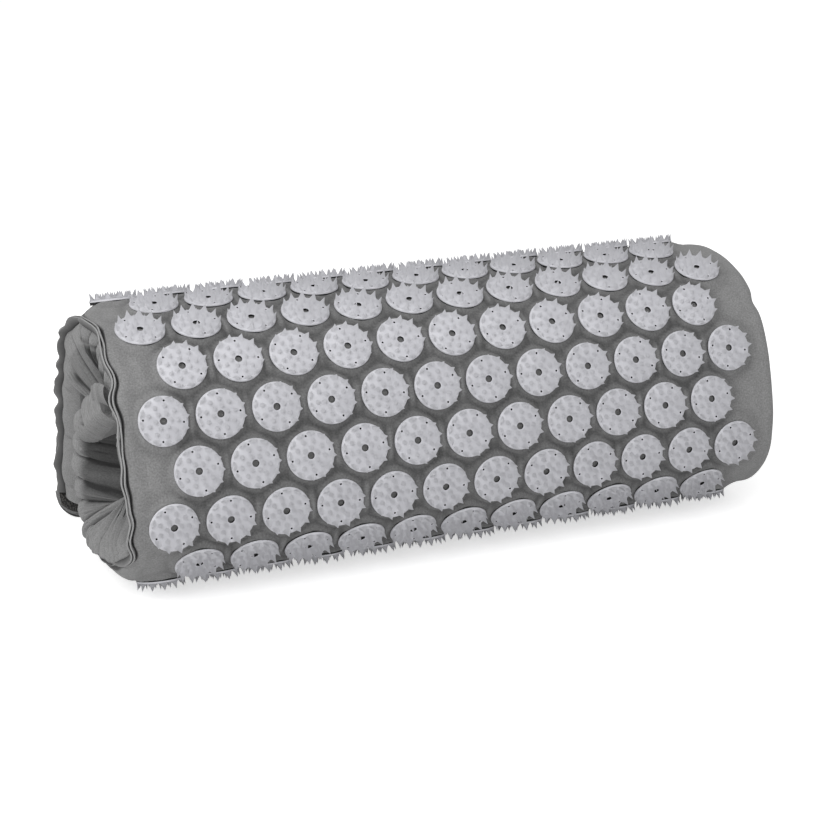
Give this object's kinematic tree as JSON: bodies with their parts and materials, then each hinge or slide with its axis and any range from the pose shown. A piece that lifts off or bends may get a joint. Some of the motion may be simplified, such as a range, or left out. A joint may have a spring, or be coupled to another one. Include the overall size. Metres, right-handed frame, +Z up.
{
  "type": "acupressure mat",
  "caption": "Padded grey cotton mat covered in spiked plastic discs, lying rolled up; it unrolls flat along its bend lines and has a closing flap at one end.",
  "frame": {"origin": "middle of the roll on the floor under it", "axes": "+X along the roll, +Y from the side with the smooth outer turn towards the tail end with the flap, +Z up"},
  "size_m": [0.417, 0.1926, 0.168],
  "materials": {
    "disc": "satin moulded, pale grey",
    "cotton": "heathered mid-grey plain weave",
    "foam": "open-cell foam, hidden",
    "tape": "dark hook tape"
  },
  "bodies": {
    "segment_01": {"disc_row_01": "disc", "disc_row_02": "disc", "foam_segment_01": "foam", "back_cloth_01": "cotton"},
    "segment_02": {"disc_row_03": "disc", "foam_segment_02": "foam", "back_cloth_02": "cotton"},
    "segment_03": {"disc_row_04": "disc", "foam_segment_03": "foam", "back_cloth_03": "cotton"},
    "segment_04": {"disc_row_05": "disc", "foam_segment_04": "foam", "back_cloth_04": "cotton"},
    "segment_05": {"disc_row_06": "disc", "foam_segment_05": "foam", "back_cloth_05": "cotton"},
    "segment_06": {"disc_row_07": "disc", "foam_segment_06": "foam", "back_cloth_06": "cotton"},
    "segment_07": {"disc_row_08": "disc", "foam_segment_07": "foam", "back_cloth_07": "cotton"},
    "segment_08": {"disc_row_09": "disc", "foam_segment_08": "foam", "back_cloth_08": "cotton"},
    "segment_09": {"disc_row_10": "disc", "foam_segment_09": "foam", "back_cloth_09": "cotton"},
    "segment_10": {"disc_row_11": "disc", "foam_segment_10": "foam", "back_cloth_10": "cotton"},
    "segment_11": {"disc_row_12": "disc", "foam_segment_11": "foam", "back_cloth_11": "cotton"},
    "segment_12": {"disc_row_13": "disc", "foam_segment_12": "foam", "back_cloth_12": "cotton"},
    "segment_13": {"disc_row_14": "disc", "foam_segment_13": "foam", "back_cloth_13": "cotton"},
    "segment_14": {"disc_row_15": "disc", "foam_segment_14": "foam", "back_cloth_14": "cotton"},
    "segment_15": {"disc_row_16": "disc", "foam_segment_15": "foam", "back_cloth_15": "cotton"},
    "segment_16": {"disc_row_17": "disc", "foam_segment_16": "foam", "back_cloth_16": "cotton"},
    "segment_17": {"disc_row_18": "disc", "foam_segment_17": "foam", "back_cloth_17": "cotton"},
    "segment_18": {"disc_row_19": "disc", "disc_row_20": "disc", "foam_segment_18": "foam", "back_cloth_18": "cotton"},
    "flap": {"closing_flap": "cotton", "hook_tape": "tape"}
  },
  "joints": [
    {"name": "bend_01", "type": "hinge", "parent": "segment_02", "child": "segment_01", "pos_m": [0, 0.07536, 0.1079], "axis": [1, 0, 0], "range_deg": [0, 18]},
    {"name": "bend_02", "type": "hinge", "parent": "segment_03", "child": "segment_02", "pos_m": [0, 0.06046, 0.1337], "axis": [1, 0, 0], "range_deg": [0, 22]},
    {"name": "bend_03", "type": "hinge", "parent": "segment_04", "child": "segment_03", "pos_m": [0, 0.03698, 0.15205], "axis": [1, 0, 0], "range_deg": [0, 21]},
    {"name": "bend_04", "type": "hinge", "parent": "segment_05", "child": "segment_04", "pos_m": [0, 0.00848, 0.16076], "axis": [1, 0, 0], "range_deg": [0, 21]},
    {"name": "bend_05", "type": "hinge", "parent": "segment_06", "child": "segment_05", "pos_m": [0, -0.02124, 0.15868], "axis": [1, 0, 0], "range_deg": [0, 14.7]},
    {"name": "bend_06", "type": "hinge", "parent": "segment_07", "child": "segment_06", "pos_m": [0, -0.04947, 0.14913], "axis": [1, 0, 0], "range_deg": [0, 27.8]},
    {"name": "bend_07", "type": "hinge", "parent": "segment_08", "child": "segment_07", "pos_m": [0, -0.06999, 0.12751], "axis": [1, 0, 0], "range_deg": [0, 21]},
    {"name": "bend_08", "type": "hinge", "parent": "segment_09", "child": "segment_08", "pos_m": [0, -0.08139, 0.09998], "axis": [1, 0, 0], "range_deg": [0, 7.8]},
    {"name": "bend_09", "type": "hinge", "parent": "segment_10", "child": "segment_09", "pos_m": [0, -0.08895, 0.07116], "axis": [1, 0, 0], "range_deg": [0, 16.4]},
    {"name": "bend_10", "type": "hinge", "parent": "segment_11", "child": "segment_10", "pos_m": [0, -0.08807, 0.04137], "axis": [1, 0, 0], "range_deg": [0, 36]},
    {"name": "roll_bend", "type": "hinge", "parent": "segment_12", "child": "segment_11", "pos_m": [0, -0.06984, 0.01779], "axis": [1, 0, 0], "range_deg": [0, 36.3]},
    {"name": "bend_12", "type": "hinge", "parent": "segment_13", "child": "segment_12", "pos_m": [0, -0.0412, 0.00958], "axis": [1, 0, 0], "range_deg": [0, 12]},
    {"name": "bend_13", "type": "hinge", "parent": "segment_14", "child": "segment_13", "pos_m": [0, -0.01147, 0.0075], "axis": [1, 0, 0], "range_deg": [0, 4]},
    {"name": "bend_14", "type": "hinge", "parent": "segment_14", "child": "segment_15", "pos_m": [0, 0.01833, 0.0075], "axis": [-1, 0, 0], "range_deg": [0, 46]},
    {"name": "bend_15", "type": "hinge", "parent": "segment_15", "child": "segment_16", "pos_m": [0, 0.03903, 0.02894], "axis": [-1, 0, 0], "range_deg": [0, 38]},
    {"name": "bend_16", "type": "hinge", "parent": "segment_16", "child": "segment_17", "pos_m": [0, 0.04215, 0.05857], "axis": [-1, 0, 0], "range_deg": [0, 22]},
    {"name": "bend_17", "type": "hinge", "parent": "segment_17", "child": "segment_18", "pos_m": [0, 0.03393, 0.08722], "axis": [-1, 0, 0], "range_deg": [0, 44]},
    {"name": "flap_fold", "type": "hinge", "parent": "segment_01", "child": "flap", "pos_m": [0, 0.09581, 0.01604], "axis": [-1, 0, 0], "range_deg": [-42, 43]}
  ],
  "couplings": [
    {"joint": "bend_01", "follows": "roll_bend", "ratio": 0.49587},
    {"joint": "bend_02", "follows": "roll_bend", "ratio": 0.60606},
    {"joint": "bend_03", "follows": "roll_bend", "ratio": 0.57851},
    {"joint": "bend_04", "follows": "roll_bend", "ratio": 0.57851},
    {"joint": "bend_05", "follows": "roll_bend", "ratio": 0.40496},
    {"joint": "bend_06", "follows": "roll_bend", "ratio": 0.76584},
    {"joint": "bend_07", "follows": "roll_bend", "ratio": 0.57851},
    {"joint": "bend_08", "follows": "roll_bend", "ratio": 0.21488},
    {"joint": "bend_09", "follows": "roll_bend", "ratio": 0.45179},
    {"joint": "bend_10", "follows": "roll_bend", "ratio": 0.99174},
    {"joint": "bend_12", "follows": "roll_bend", "ratio": 0.33058},
    {"joint": "bend_13", "follows": "roll_bend", "ratio": 0.11019},
    {"joint": "bend_14", "follows": "roll_bend", "ratio": 1.2672},
    {"joint": "bend_15", "follows": "roll_bend", "ratio": 1.0468},
    {"joint": "bend_16", "follows": "roll_bend", "ratio": 0.60606},
    {"joint": "bend_17", "follows": "roll_bend", "ratio": 1.2121}
  ]
}
